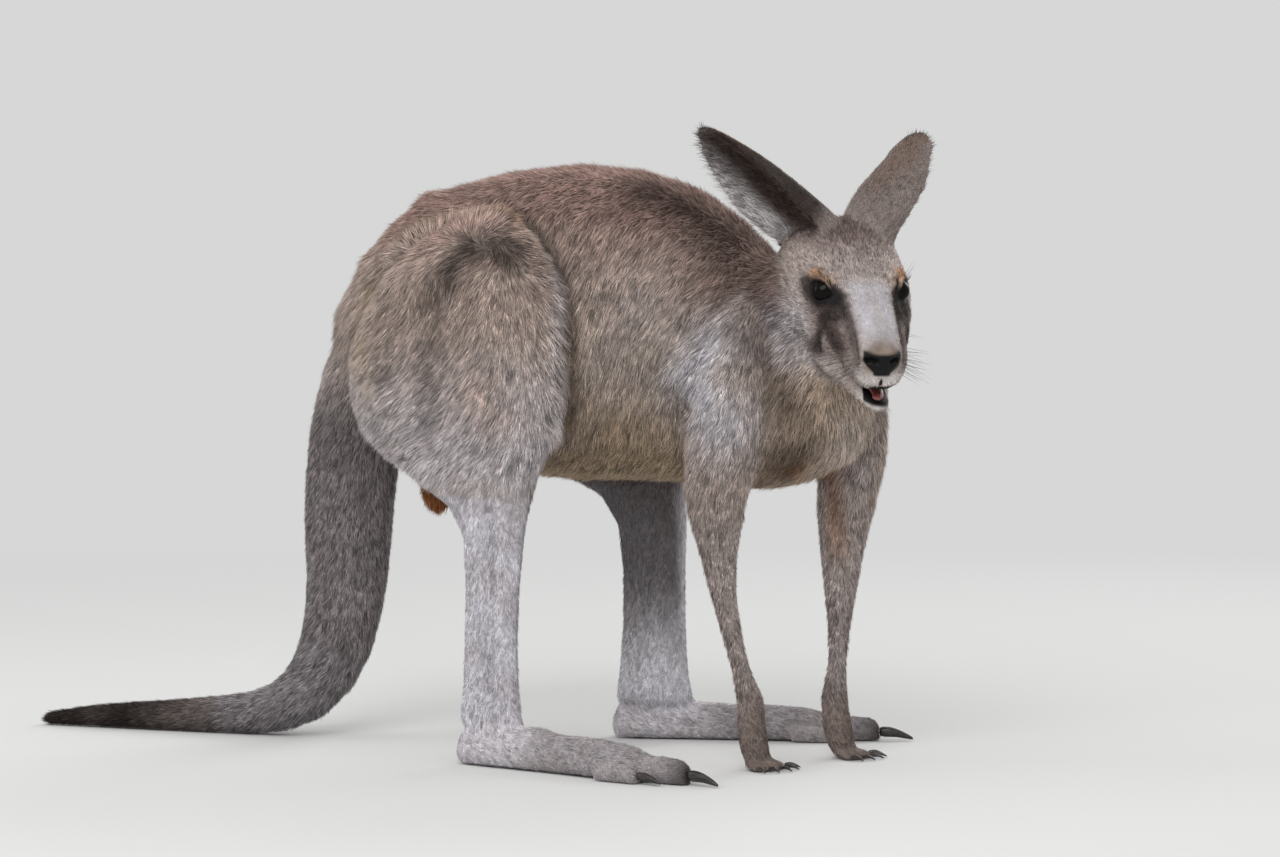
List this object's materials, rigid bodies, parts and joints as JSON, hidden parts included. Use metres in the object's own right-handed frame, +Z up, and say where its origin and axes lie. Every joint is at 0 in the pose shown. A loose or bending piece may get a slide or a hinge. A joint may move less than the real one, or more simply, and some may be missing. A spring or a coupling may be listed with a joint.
{
  "type": "grey kangaroo model",
  "caption": "Still, life-size model of a grey kangaroo standing low on its long hind feet, its hands and its tail, head turned to its right.",
  "frame": {"origin": "on the floor, below the middle of the model's box", "axes": "+X the way the body faces, +Y the animal's left, +Z up"},
  "size_m": [1.0996, 0.4742, 0.6824],
  "materials": {
    "coat_body": "dense grey-brown fur, warmer along the back, paler on the flank and belly",
    "coat_face": "very short grizzled grey fur with paler cheeks and lips",
    "coat_ear": "short brown fur outside, whitish fringe inside",
    "coat_pale": "short silver-grey fur",
    "coat_dark": "very short dark brown fur",
    "coat_tail": "grey-brown fur darkening to a black tip",
    "coat_rust": "orange-brown fur",
    "nose": "bare, fine-grained and slightly moist",
    "tongue": "moist",
    "claw": "worn horn",
    "eye": "wet and dark"
  },
  "bodies": {
    "root": {"claw_fifth_toe_1_left": "claw", "claw_fifth_toe_1_right": "claw", "claw_finger_1_left": "claw", "claw_finger_1_right": "claw", "claw_finger_2_left": "claw", "claw_finger_2_right": "claw", "claw_finger_3_left": "claw", "claw_finger_3_right": "claw", "claw_finger_4_left": "claw", "claw_finger_4_right": "claw", "claw_finger_5_left": "claw", "claw_finger_5_right": "claw", "claw_fourth_toe_1_left": "claw", "claw_fourth_toe_1_right": "claw", "claw_joined_toe_1_left": "claw", "claw_joined_toe_1_right": "claw", "claw_joined_toe_2_left": "claw", "claw_joined_toe_2_right": "claw", "ear_left": "coat_ear", "ear_right": "coat_ear", "eye_left": "eye", "eye_right": "eye", "foot_left": "coat_pale", "foot_right": "coat_pale", "forearm_left": "coat_body", "forearm_right": "coat_body", "hand_left": "coat_dark", "hand_right": "coat_dark", "head": "coat_face", "lower_jaw": "coat_face", "neck": "coat_body", "nose": "nose", "scrotum": "coat_rust", "shank_left": "coat_pale", "shank_right": "coat_pale", "tail_lower": "coat_tail", "tail_root": "coat_tail", "tail_tip": "coat_tail", "tail_upper": "coat_tail", "thigh_left": "coat_body", "thigh_right": "coat_body", "toe_fifth_left": "coat_dark", "toe_fifth_right": "coat_dark", "toe_fourth_left": "coat_dark", "toe_fourth_right": "coat_dark", "toe_joined_left": "coat_dark", "toe_joined_right": "coat_dark", "tongue": "tongue", "trunk": "coat_body", "upper_arm_left": "coat_body", "upper_arm_right": "coat_body"}
  },
  "joints": []
}
